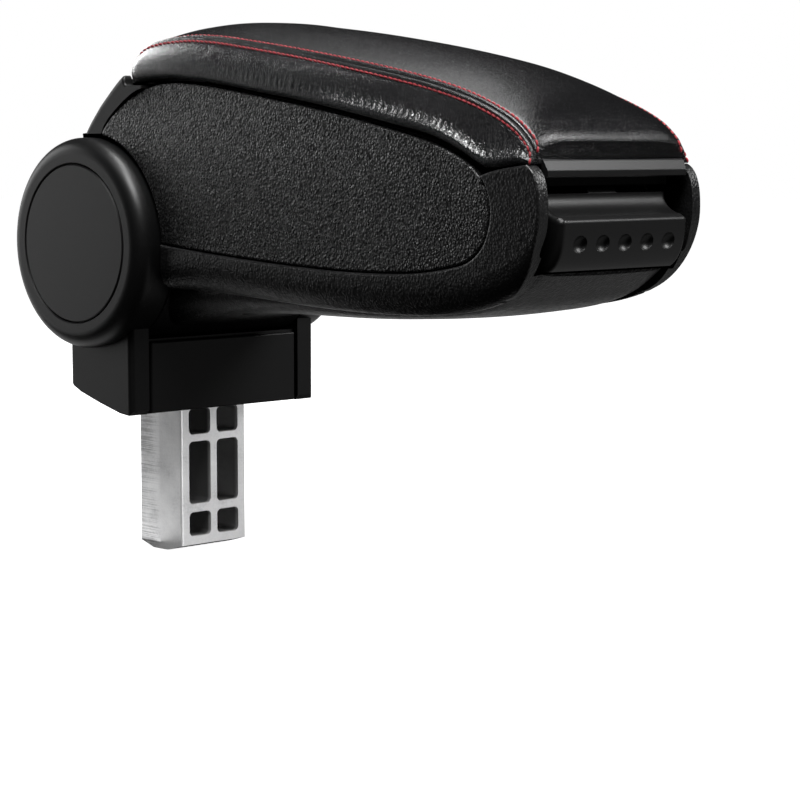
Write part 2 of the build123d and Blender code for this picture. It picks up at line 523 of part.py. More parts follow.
pocket = poly([(239, 1.5), (245.5, -1.8), (247.6, 1.2), (248.8, 4.5), (249.6, 12.6), (243.6, 16.0), (242.2, 20.6), (239, 20.6)], -25, 25)
lev = lev - pocket
for s in (-1, 1):
    lug = poly([(237.0, -4.4), (241.0, -2.6), (243.0, -2.2), (243.0, 6.0), (241.0, 7.0), (233.4, 0.0)], s * 27.2, s * 32.5)
    lug = lug + rod(LEV_X, LEV_Z, 3.0, s * 27.2, s * 32.5)
    lug = lug + poly([(234.0, -6.0), (237.2, -4.6), (237.2, 1.0), (234.0, 0.0)], s * 27.2, s * 32.5)
    lev = lev + lug
# latch hook
lev = lev + poly([(240.65, 20.0), (243.0, 22.0), (241.4, 26.0), (239.3, 29.6), (241.4, 30.4), (241.4, 32.2), (238.9, 33.6), (237.2, 30.5),
                  (238.2, 20.0)], -8, 8)
lev = lev - rod(LEV_X, LEV_Z, LEV_PIN_R + RUN, -60, 60)
parts["release_lever"] = one(lev)

# torsion spring round the lever's pin
pitch, turns, wr = 1.3, 5, 0.45
hx = Helix(pitch=pitch, height=pitch * turns, radius=2.6)
coil = sweep(Plane(hx @ 0, z_dir=hx % 0) * Circle(wr), path=hx)
coil = Pos(LEV_X, 24.6, LEV_Z) * Rot(90, 0, 0) * coil
parts["lever_spring"] = one(coil)

# ---------------------------------------------------------------- lid
def lid_w(x):
    return half_w(x) - 9.0


CF = cushion_form(0.0, 24.0, 248.6)
CFi = cushion_form(SKIN, 25.3, 247.3)
XS = [29.0, 40, 52, 68.5, 87.3, 105.6, 124.7, 143.3, 161.5, 179, 196, 206.9, 214.7, 222, 230, 238, 243.4]
chan = poly([(x, lerp(ZL, x)) for x in [28.0] + XS[1:-1] + [252.0]] + [(252.0, 20.0), (28.0, 20.0)], -60, 60)
chan = chan & slab([(20, -lid_w(20) - 0.9), (260, -lid_w(260) - 0.9), (260, lid_w(260) + 0.9), (20, lid_w(20) + 0.9)], 0, 120)
chan = chan + box(242.5, 260, -40.6, 40.6, 20, 37.0)
notch = box(15, 28.0, -42.0, 42.0, 60, 74.6)
notch_i = box(15, 29.3, -43.3, 43.3, 60, 75.9)
body = CF - chan - notch
core = CFi - chan - notch_i
foam = core
skin = body - core
parts["lid_foam"] = one(foam)
mid = box(0, 300, -SEAM_Y, SEAM_Y, 0, 140)
parts["top_cover_panel"] = one(skin & mid)
parts["right_cover_panel"] = one(skin & box(0, 300, -80, -SEAM_Y, 0, 140))
parts["left_cover_panel"] = one(skin & box(0, 300, SEAM_Y, 80, 0, 140))

lb = poly([(x, lerp(ZL, x) - 0.03) for x in XS] + [(x, lerp(ZL, x) - 2.6) for x in XS[::-1]], -60, 60)
lb = lb & slab([(20, -lid_w(20)), (260, -lid_w(260)), (260, lid_w(260)), (20, lid_w(20))], 0, 120)
# stiffening rib round the underside
rib = poly([(x, lerp(ZL, x) - 2.0) for x in XS[2:12]] + [(x, lerp(ZL, x) - 6.0) for x in XS[2:12][::-1]], -60, 60)
rib = rib & (slab([(60, -34), (200, -31), (200, 31), (60, 34)], 0, 120) - slab([(62, -32), (198, -29), (198, 29), (62, 32)], 0, 120))
lb = lb + rib
for yc, half in ((-38.4, 3.1), (-15.0, 9.7), (15.0, 9.7), (38.4, 3.1)):
    lb = lb + rod(LID_X, LID_Z, 2.5, yc - half, yc + half) + poly([(24.3, 70.0), (27.4, 68.6), (31.0, 68.6), (31.0, 71.0), (27.9, 71.0), (25.6, 72.5)], yc - half, yc + half)
lb = lb - rod(LID_X, LID_Z, LID_PIN_R + RUN, -60, 60)
LSCR = [(110.0, 0.0), (180.0, 0.0)]
BARS = [-26.0, 26.0]
for x, yy in LSCR:
    lb = lb - stud(x, yy, 1.75, 30, 90)
parts["lid_base"] = one(lb)
scr = []
hole = []
for x, yy in LSCR:
    z = lerp(ZL, x) - 2.6
    s = stud(x, yy, 1.7, z - 0.2, z + 8.5) + stud(x, yy, 3.4, z - 2.4, z - 0.9)
    s = s + stud(x, yy, 1.7, z - 1.5, z + 1)
    s = s - box(x - 2.2, x + 2.2, yy - 0.4, yy + 0.4, z - 3, z - 1.7) - box(x - 0.4, x + 0.4, yy - 2.2, yy + 2.2, z - 3, z - 1.7)
    scr.append(one(s))
    hole.append(stud(x, yy, 1.72, z - 1, z + 8.6))
parts["lid_screws"] = Compound(children=scr)
fm = parts["lid_foam"]
for h in hole:
    fm = fm - h
parts["lid_foam"] = one(fm)

BAR = [(243.45, 36.6), (248.3, 36.75), (250.3, 32.6), (250.3, 30.5), (249.6, 30.0), (245.4, 31.2), (243.45, 33.0)]
bar = poly(BAR, -40.2, 40.2)
for s in (-1, 1):
    bar = bar - slab([(243.0, s * 40.3), (247.8, s * 40.3), (243.0, s * 36.0)], 0, 60)
    bar = bar - slab([(248.6, s * 40.3), (252.0, s * 40.3), (252.0, s * 39.2)], 0, 60)
bar = rounded(bar, lambda e: abs(e.tangent_at(0.5).Y) > 0.99 and e.center().X > 247 and e.center().Z > 32 and e.length > 40, (1.3, 0.9, 0.5))
bar = rounded(bar, lambda e: abs(e.tangent_at(0.5).Y) > 0.99 and e.center().X > 249 and e.center().Z < 31 and e.length > 40, (0.3, 0.2))
bar = rounded(bar, lambda e: abs(e.center().Y) > 38.8 and e.center().X > 247.2 and e.length > 2, (1.0, 0.7, 0.4))
parts["lid_pull_bar"] = one(bar)

keeper = box(241.75, 243.4, -36.2, 36.2, 26.9, 34.25)
keeper = keeper - box(241, 242.7, -8.6, 8.6, 29.4, 33.2)
parts["latch_keeper"] = one(keeper)

# ---------------------------------------------------------------- move to the post's bottom end and write
os.makedirs("parts", exist_ok=True)
shift = Location((HINGE_X, 0, HINGE_Z))
for name, s in parts.items():
    export_step(shift * s, "parts/" + name + ".step")
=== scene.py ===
import bpy
import json
import math
import numpy as np
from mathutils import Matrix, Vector


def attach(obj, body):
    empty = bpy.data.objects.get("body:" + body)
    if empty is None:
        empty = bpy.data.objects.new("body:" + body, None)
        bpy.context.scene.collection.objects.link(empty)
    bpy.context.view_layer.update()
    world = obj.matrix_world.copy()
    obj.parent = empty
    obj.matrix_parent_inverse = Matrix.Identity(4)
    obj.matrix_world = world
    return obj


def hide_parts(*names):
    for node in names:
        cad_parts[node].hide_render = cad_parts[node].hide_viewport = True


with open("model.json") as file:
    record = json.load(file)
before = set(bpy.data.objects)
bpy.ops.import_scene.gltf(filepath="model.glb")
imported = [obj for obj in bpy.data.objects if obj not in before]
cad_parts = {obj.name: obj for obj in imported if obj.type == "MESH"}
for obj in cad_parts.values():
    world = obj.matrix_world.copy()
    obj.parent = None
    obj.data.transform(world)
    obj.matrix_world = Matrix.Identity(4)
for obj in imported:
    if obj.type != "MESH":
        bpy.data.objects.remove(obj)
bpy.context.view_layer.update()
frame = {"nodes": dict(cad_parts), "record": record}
N = frame["nodes"]
scene = bpy.context.scene

# the tilt axle in the row frame, in mm: profiles below are drawn about it
HX, HZ = -4.0, 136.4
W0, W_TAPER = 54.8, 0.031


def at(x, y, z):
    return ((x + HX) / 1000.0, y / 1000.0, (z + HZ) / 1000.0)


def half_w(x):
    return W0 - W_TAPER * x


# ------------------------------------------------------------------ materials
def new_mat(name):
    m = bpy.data.materials.new(name)
    m.use_nodes = True
    nt = m.node_tree
    return m, nt, nt.nodes["Principled BSDF"]


def add(nt, kind, **props):
    n = nt.nodes.new(kind)
    for k, v in props.items():
        if k in n.inputs:
            n.inputs[k].default_value = v
        else:
            setattr(n, k, v)
    return n


def coords(nt, scale=(1.0, 1.0, 1.0), rot=(0.0, 0.0, 0.0)):
    tc = add(nt, "ShaderNodeTexCoord")
    mp = add(nt, "ShaderNodeMapping")
    mp.inputs["Scale"].default_value = scale
    mp.inputs["Rotation"].default_value = rot
    nt.links.new(tc.outputs["Object"], mp.inputs["Vector"])
    return mp.outputs["Vector"]


def noise(nt, vec, scale, detail=2.0, rough=0.5):
    n = add(nt, "ShaderNodeTexNoise", Scale=scale, Detail=detail, Roughness=rough)
    nt.links.new(vec, n.inputs["Vector"])
    return n


def ramp(nt, src, stops):
    r = add(nt, "ShaderNodeValToRGB")
    e = r.color_ramp.elements
    while len(e) < len(stops):
        e.new(0.5)
    for el, (p, c) in zip(e, stops):
        el.position = p
        el.color = (c[0], c[1], c[2], 1.0) if isinstance(c, (tuple, list)) else (c, c, c, 1.0)
    nt.links.new(src, r.inputs["Fac"])
    return r.outputs["Color"]


def math_node(nt, op, a, b):
    n = add(nt, "ShaderNodeMath", operation=op)
    for i, v in enumerate((a, b)):
        if isinstance(v, (int, float)):
            n.inputs[i].default_value = v
        else:
            nt.links.new(v, n.inputs[i])
    return n.outputs[0]


def warp(nt, vec, scale, amount):
    # coordinates pushed about by a noise, so that cells are uneven
    n = noise(nt, vec, scale, 1.0)
    s = add(nt, "ShaderNodeVectorMath", operation="SUBTRACT")
    s.inputs[1].default_value = (0.5, 0.5, 0.5)
    nt.links.new(n.outputs["Color"], s.inputs[0])
    k = add(nt, "ShaderNodeVectorMath", operation="SCALE")
    k.inputs["Scale"].default_value = amount
    nt.links.new(s.outputs[0], k.inputs[0])
    a = add(nt, "ShaderNodeVectorMath", operation="ADD")
    nt.links.new(vec, a.inputs[0])
    nt.links.new(k.outputs[0], a.inputs[1])
    return a.outputs[0]


def bump(nt, bsdf, height, strength, distance, after=None):
    b = add(nt, "ShaderNodeBump")
    b.inputs["Strength"].default_value = strength
    b.inputs["Distance"].default_value = distance
    nt.links.new(height, b.inputs["Height"])
    if after is not None:
        nt.links.new(after, b.inputs["Normal"])
    nt.links.new(b.outputs["Normal"], bsdf.inputs["Normal"])
    return b.outputs["Normal"]


def grained(name, dark, light, cell, rough, depth, stretch=(1.0, 1.0, 1.0), glint=None):
    # moulded pebble grain: raised uneven cells with creases between them, cells in clumps
    m, nt, bs = new_mat(name)
    v0 = coords(nt, stretch)
    v = warp(nt, v0, 0.6 * 1000.0 / cell, 0.0006 * cell)
    edge = add(nt, "ShaderNodeTexVoronoi", feature="DISTANCE_TO_EDGE", Scale=1000.0 / cell, Randomness=1.0)
    nt.links.new(v, edge.inputs["Vector"])
    crease = ramp(nt, edge.outputs["Distance"], [(0.0, 0.0), (0.10, 0.55), (0.30, 0.95), (0.55, 1.0)])
    lump = noise(nt, v, 520.0 / cell, 2.0, 0.5)
    fine = noise(nt, v, 3200.0 / cell, 2.0, 0.6)
    spot = add(nt, "ShaderNodeTexVoronoi", feature="F1", Scale=1000.0 / cell, Randomness=1.0)
    nt.links.new(v, spot.inputs["Vector"])
    dome = ramp(nt, spot.outputs["Distance"], [(0.0, 1.0), (0.2, 0.92), (0.42, 0.55), (0.62, 0.18), (0.85, 0.0)])
    h = math_node(nt, "ADD", math_node(nt, "MULTIPLY", dome, 1.2), math_node(nt, "MULTIPLY", lump.outputs["Fac"], 1.1))
    h = math_node(nt, "ADD", h, math_node(nt, "MULTIPLY", fine.outputs["Fac"], 0.2))
    bump(nt, bs, h, 1.0, depth)
    big = noise(nt, v0, 60.0, 2.0)
    mix = math_node(nt, "MULTIPLY", crease, big.outputs["Fac"])
    stops = [(0.05, dark), (0.6, light)]
    if glint:
        # painted glints: a brighter colour on some cells stands in for specular sparkle, and the same noise raises the
        # specular level there
        top = noise(nt, v, 1050.0, 2.0, 0.55)
        painted_glint_mask = ramp(nt, top.outputs["Fac"], [(0.53, 0.0), (0.68, 1.0)])
        mix = math_node(nt, "ADD", math_node(nt, "MULTIPLY", mix, 0.6), math_node(nt, "MULTIPLY", painted_glint_mask, 0.55))
        stops = [(0.03, dark), (0.36, light), (0.85, glint)]
        nt.links.new(ramp(nt, top.outputs["Fac"], [(0.48, 0.34), (0.64, 1.0)]), bs.inputs["Specular IOR Level"])
    nt.links.new(ramp(nt, mix, stops), bs.inputs["Base Color"])
    nt.links.new(ramp(nt, lump.outputs["Fac"], [(0.3, rough + 0.08), (0.7, rough - 0.06)]), bs.inputs["Roughness"])
    bs.inputs["Specular IOR Level"].default_value = 0.55
    return m


def satin(name, dark, light, rough, fine_scale=2600.0, depth=0.000012, spec=0.5):
    # spark-eroded smooth plastic: a very fine even mist of bumps
    m, nt, bs = new_mat(name)
    v = coords(nt)
    f = noise(nt, v, fine_scale, 3.0, 0.65)
    big = noise(nt, v, 28.0, 3.0)
    nt.links.new(ramp(nt, big.outputs["Fac"], [(0.3, dark), (0.7, light)]), bs.inputs["Base Color"])
    nt.links.new(ramp(nt, f.outputs["Fac"], [(0.3, rough - 0.05), (0.7, rough + 0.06)]), bs.inputs["Roughness"])
    bs.inputs["Specular IOR Level"].default_value = spec
    bump(nt, bs, f.outputs["Fac"], 0.6, depth)
    return m


def axis_mask(nt, axis, stops, absolute=False):
    # a ramp along one object axis, given in metres between -0.05 and 0.05
    tc = add(nt, "ShaderNodeTexCoord")
    sp = add(nt, "ShaderNodeSeparateXYZ")
    nt.links.new(tc.outputs["Object"], sp.inputs[0])
    out = sp.outputs[axis]
    if absolute:
        out = math_node(nt, "ABSOLUTE", out, 0.0)
    f = math_node(nt, "MULTIPLY_ADD", out, 10.0)
    f.node.inputs[2].default_value = 0.5
    return ramp(nt, f, [(0.5 + 10.0 * q, c) for q, c in stops])


def hook_shade(m, z):
    # the latch hook above this height is unpolished and matt
    nt = m.node_tree
    bs = nt.nodes["Principled BSDF"]
    tc = add(nt, "ShaderNodeTexCoord")
    sp = add(nt, "ShaderNodeSeparateXYZ")
    nt.links.new(tc.outputs["Object"], sp.inputs[0])
    f = math_node(nt, "MULTIPLY_ADD", sp.outputs["Z"], 1000.0)
    f.node.inputs[2].default_value = 0.5 - 1000.0 * z
    nt.links.new(ramp(nt, f, [(0.4, 0.5), (0.6, 0.04)]), bs.inputs["Specular IOR Level"])


def groove_shade(m, z):
    # below this height the surface is painted near black and made matt: painted shade in the dark gap under it
    nt = m.node_tree
    bs = nt.nodes["Principled BSDF"]
    tc = add(nt, "ShaderNodeTexCoord")
    sp = add(nt, "ShaderNodeSeparateXYZ")
    nt.links.new(tc.outputs["Object"], sp.inputs[0])
    f = math_node(nt, "MULTIPLY_ADD", sp.outputs["Z"], 1000.0)
    f.node.inputs[2].default_value = 0.5 - 1000.0 * z
    nt.links.new(ramp(nt, f, [(0.4, 0.0), (0.6, 0.5)]), bs.inputs["Specular IOR Level"])
    nt.links.new(ramp(nt, f, [(0.4, 0.0006), (0.6, 0.0058)]), bs.inputs["Base Color"])


def cast_alloy(name, pockets=False):
    m, nt, bs = new_mat(name)
    v = coords(nt)
    skin = noise(nt, v, 900.0, 4.0, 0.6)
    cloud = noise(nt, v, 70.0, 4.0, 0.55)
    # scratches run across the post, a little off level, mostly on the rear half
    vs = coords(nt, (26.0, 26.0, 1500.0), (0.05, -0.07, 0.0))
    sc = noise(nt, vs, 1.0, 3.0, 0.6)
    line = ramp(nt, sc.outputs["Fac"], [(0.46, 0.0), (0.62, 1.0)])
    line = math_node(nt, "MULTIPLY", line, axis_mask(nt, "X", [(-0.006, 1.0), (0.001, 0.12)]))
    base = math_node(nt, "ADD", cloud.outputs["Fac"], math_node(nt, "MULTIPLY", skin.outputs["Fac"], 0.35))
    tone = math_node(nt, "SUBTRACT", base, math_node(nt, "MULTIPLY", line, 0.34))
    col = ramp(nt, tone, [(0.28, (0.40, 0.40, 0.405)), (0.62, (0.72, 0.72, 0.725)), (0.95, (0.86, 0.86, 0.86))])
    if pockets:
        # the pockets are painted far darker and less metallic than the faces: painted shade in the recesses
        inside = math_node(nt, "MULTIPLY", axis_mask(nt, "X", [(0.0122, 1.0), (0.0138, 0.0)]), axis_mask(nt, "Y", [(0.0139, 1.0), (0.0150, 0.0)], True))
        mx = add(nt, "ShaderNodeMix", data_type="RGBA")
        nt.links.new(inside, mx.inputs["Factor"])
        nt.links.new(col, mx.inputs[6])
        mx.inputs[7].default_value = (0.11, 0.11, 0.11, 1.0)
        col = mx.outputs[2]
        nt.links.new(ramp(nt, inside, [(0.0, 0.30), (1.0, 0.0)]), bs.inputs["Metallic"])
    else:
        bs.inputs["Metallic"].default_value = 0.6
    nt.links.new(col, bs.inputs["Base Color"])
    nt.links.new(ramp(nt, tone, [(0.3, 0.56), (0.9, 0.40)]), bs.inputs["Roughness"])
    h = math_node(nt, "SUBTRACT", math_node(nt, "MULTIPLY", skin.outputs["Fac"], 0.5), math_node(nt, "MULTIPLY", line, 0.5))
    bump(nt, bs, h, 0.55, 0.00012)
    return m


def steel(name):
    m, nt, bs = new_mat(name)
    v = coords(nt)
    f = noise(nt, v, 700.0, 4.0, 0.6)
    nt.links.new(ramp(nt, f.outputs["Fac"], [(0.3, (0.42, 0.42, 0.44)), (0.7, (0.60, 0.60, 0.60))]), bs.inputs["Base Color"])
    nt.links.new(ramp(nt, f.outputs["Fac"], [(0.3, 0.28), (0.7, 0.42)]), bs.inputs["Roughness"])
    bs.inputs["Metallic"].default_value = 1.0
    bump(nt, bs, f.outputs["Fac"], 0.3, 0.00003)
    return m


def thread(name):
    m, nt, bs = new_mat(name)
    v = coords(nt)
    f = noise(nt, v, 3000.0, 3.0, 0.6)
    t = noise(nt, v, 260.0, 2.0)
    s = math_node(nt, "ADD", math_node(nt, "MULTIPLY", f.outputs["Fac"], 0.6), math_node(nt, "MULTIPLY", t.outputs["Fac"], 0.4))
    nt.links.new(ramp(nt, s, [(0.32, (0.22, 0.005, 0.012)), (0.68, (0.58, 0.026, 0.042))]), bs.inputs["Base Color"])
    bs.inputs["Roughness"].default_value = 0.55
    bs.inputs["Sheen Weight"].default_value = 0.35
    bs.inputs["Sheen Roughness"].default_value = 0.4
    bump(nt, bs, f.outputs["Fac"], 0.5, 0.00005)
    return m


def leather(name):
    # soft coated hide: small uneven cells, fine pores, a little broad wrinkling
    m, nt, bs = new_mat(name)
    v0 = coords(nt)
    v = warp(nt, v0, 800.0, 0.0006)
    cells = add(nt, "ShaderNodeTexVoronoi", feature="DISTANCE_TO_EDGE", Scale=1000.0, Randomness=1.0)
    nt.links.new(v, cells.inputs["Vector"])
    crease = ramp(nt, cells.outputs["Distance"], [(0.0, 0.0), (0.12, 0.7), (0.4, 1.0)])
    fine = noise(nt, v, 2400.0, 3.0, 0.6)
    lump = noise(nt, v, 480.0, 2.0)
    big = noise(nt, v0, 45.0, 3.0)
    h = math_node(nt, "ADD", crease, math_node(nt, "MULTIPLY", fine.outputs["Fac"], 0.4))
    h = math_node(nt, "ADD", h, math_node(nt, "MULTIPLY", lump.outputs["Fac"], 0.9))
    bump(nt, bs, h, 0.40, 0.00014)
    mix = math_node(nt, "MULTIPLY", crease, big.outputs["Fac"])
    nt.links.new(ramp(nt, mix, [(0.1, (0.003, 0.003, 0.0033)), (0.7, (0.007, 0.007, 0.0075))]), bs.inputs["Base Color"])
    nt.links.new(ramp(nt, fine.outputs["Fac"], [(0.3, 0.19), (0.7, 0.28)]), bs.inputs["Roughness"])
    bs.inputs["Specular IOR Level"].default_value = 0.55
    return m


def rubber(name):
    m, nt, bs = new_mat(name)
    v = coords(nt)
    f = noise(nt, v, 1500.0, 4.0, 0.7)
    nt.links.new(ramp(nt, f.outputs["Fac"], [(0.3, (0.010, 0.010, 0.010)), (0.7, (0.024, 0.024, 0.024))]), bs.inputs["Base Color"])
    nt.links.new(ramp(nt, f.outputs["Fac"], [(0.3, 0.7), (0.7, 0.85)]), bs.inputs["Roughness"])
    bump(nt, bs, f.outputs["Fac"], 0.7, 0.00012)
    return m


# the side panels' last colour is a painted glint on some of the cells
M_PANEL = grained("panel_grain", (0.006, 0.006, 0.0062), (0.017, 0.017, 0.0174), 0.9, 0.26, 0.00021, (1.0, 1.0, 0.85), (0.045, 0.045, 0.0455))
M_SHELL = grained("shell_grain", (0.006, 0.006, 0.0062), (0.016, 0.016, 0.0164), 1.0, 0.34, 0.00009, (1.0, 1.0, 0.85))
M_SATIN = satin("satin_grey", (0.0050, 0.0050, 0.0052), (0.0062, 0.0062, 0.0064), 0.38)
M_COVER = satin("cover_grey", (0.0050, 0.0050, 0.0052), (0.0062, 0.0062, 0.0064), 0.44)
M_BASE = satin("base_black", (0.0036, 0.0036, 0.0038), (0.0048, 0.0048, 0.0050), 0.42)
M_INNER = satin("inner_black", (0.003, 0.003, 0.003), (0.0045, 0.0045, 0.0045), 0.55, 1400.0, 0.00003, 0.2)
M_EPOXY = satin("black_steel", (0.006, 0.006, 0.006), (0.009, 0.009, 0.009), 0.45, 1400.0, 0.00003)
M_LEVER = satin("lever_grey", (0.0050, 0.0050, 0.0052), (0.0062, 0.0062, 0.0064), 0.38)
hook_shade(M_LEVER, 0.1606)
M_REAR = satin("rear_cover_grey", (0.0050, 0.0050, 0.0052), (0.0062, 0.0062, 0.0064), 0.44)
# the rear cover's lower edge is painted near black: painted shade in the gap over the disc ring
groove_shade(M_REAR, 0.1831)
# the post's pockets carry painted shade from the pocket mask in cast_alloy
M_ALLOY = cast_alloy("cast_post", True)
M_BRACKET = cast_alloy("cast_bracket")
M_STEEL = steel("zinc_steel")
M_NYLON = satin("nylon", (0.60, 0.59, 0.55), (0.70, 0.69, 0.65), 0.45)
M_RUBBER = rubber("rubber_black")
M_LEATHER = leather("faux_leather_black")
M_THREAD = thread("red_thread")

by_slot = {
    "cast_alloy": M_ALLOY, "base_plastic": M_BASE, "satin_plastic": M_SATIN, "cover_plastic": M_COVER,
    "grained_plastic": M_SHELL, "inner_plastic": M_INNER, "bracket_alloy": M_BRACKET, "steel": M_STEEL,
    "bearing_plastic": M_NYLON, "rubber_black": M_RUBBER, "foam": M_RUBBER, "faux_leather": M_LEATHER,
}
for s in frame["record"]["subparts"]:
    o = N[s["node"]]
    o.data.materials.clear()
    m = by_slot[s["material_slot"]]
    if s["node"].endswith("side_panel"):
        m = M_PANEL
    elif s["node"] == "release_lever":
        m = M_LEVER
    elif s["node"] == "lid_hinge_bracket":
        m = M_EPOXY
    elif s["node"] == "latch_keeper":
        m = M_INNER
    elif s["node"] == "rear_cover":
        m = M_REAR
    o.data.materials.append(m)


# ------------------------------------------------------------------ cushion
def curve_fn(tab):
    # smooth monotone-ish curve through a table of points
    xs = np.array([p[0] for p in tab], float)
    ys = np.array([p[1] for p in tab], float)
    d = np.diff(ys) / np.diff(xs)
    m = np.zeros_like(ys)
    m[1:-1] = np.where(d[:-1] * d[1:] > 0, 2 * d[:-1] * d[1:] / np.where(d[:-1] + d[1:] == 0, 1, d[:-1] + d[1:]), 0.0)
    m[0], m[-1] = d[0], d[-1]

    def f(x):
        x = min(max(x, xs[0]), xs[-1])
        i = min(max(int(np.searchsorted(xs, x)) - 1, 0), len(xs) - 2)
        h = xs[i + 1] - xs[i]
        t = (x - xs[i]) / h
        return ((2 * t ** 3 - 3 * t ** 2 + 1) * ys[i] + (t ** 3 - 2 * t ** 2 + t) * h * m[i]
                + (-2 * t ** 3 + 3 * t ** 2) * ys[i + 1] + (t ** 3 - t ** 2) * h * m[i + 1])
    return f


ZL = curve_fn([(20, 71.0), (29, 71.2), (40, 71.3), (52, 71.1), (68.5, 70.0), (87.3, 67.5), (105.6, 64.5), (124.7, 61.7),
               (143.3, 58.4), (161.5, 54.9), (179.0, 51.0), (196.0, 47.2), (206.9, 43.6), (214.7, 40.7), (222.0, 38.4),
               (230.0, 37.25), (238.0, 37.05), (252.0, 37.1)])
ZS = curve_fn([(20, 67.2), (27, 67.5), (40, 68.6), (52, 69.0), (68.5, 67.9), (87.3, 65.4), (105.6, 62.4), (124.7, 59.6), (143.3, 56.3),
               (161.5, 52.9), (179.0, 49.4), (196.0, 45.9), (206.9, 42.2), (214.7, 38.6), (219.0, 36.3), (222.8, 34.4),
               (226.0, 33.35), (230.7, 33.4), (236.0, 34.0), (242.9, 34.75), (252.0, 35.0)])
SEAM = curve_fn([(22.8, 77.2), (23.9, 79.4), (26.8, 81.6), (33, 84.0), (44, 85.4), (57, 85.9), (73, 84.9), (92, 82.5), (114.6, 79.3), (134.4, 76.2),
                 (156, 72.6), (178.5, 68.5), (196, 64.8), (213.3, 60.1), (224.5, 56.0), (233.3, 51.8), (239.9, 47.6),
                 (244.3, 44.2), (246.5, 41.9), (247.4, 40.2), (247.9, 38.0), (248.2, 35.7)])
CROWN = curve_fn([(22.8, 80.0), (23.9, 83.6), (26.8, 86.8), (33, 90.2), (44, 92.5), (57, 93.2), (73, 92.6), (92, 90.5), (114.6, 87.8), (134.4, 85.0),
                  (156, 81.6), (178.5, 77.4), (196, 73.5), (213.3, 68.0), (224.5, 63.2), (233.3, 58.0), (239.9, 52.9),
                  (244.3, 48.8), (246.4, 46.7), (247.3, 45.5), (247.9, 44.4), (248.2, 43.2)])
X_REAR, X_FRONT = 22.8, 248.2
SEAM_Y = 43.0


def seam_relief(d):
    # lapped seam: a valley in the middle, a soft ridge each side, a dimple under each stitch row
    a = abs(d)
    v = -0.9 * math.exp(-(a / 0.42) ** 2)
    r = 0.5 * math.exp(-((a - 1.25) / 0.7) ** 2)
    s = -0.30 * math.exp(-((a - ROW) / 0.5) ** 2)
    return v + r + s


ROW = 2.6


def crinkle(x):
    # small upright creases where the cover is pulled under the lip
    k = max(0.0, min(1.0, (x - 60.0) / 90.0))
    return 0.11 * k * (math.sin(1.9 * x + 1.3 * math.sin(0.37 * x)) + 0.7 * math.sin(3.1 * x + 2.0 + 1.7 * math.sin(0.23 * x)))


SIDE_T = [0.0, 0.04, 0.08, 0.12, 0.17, 0.22, 0.28, 0.36, 0.44, 0.52, 0.6, 0.68, 0.76, 0.83, 0.9]


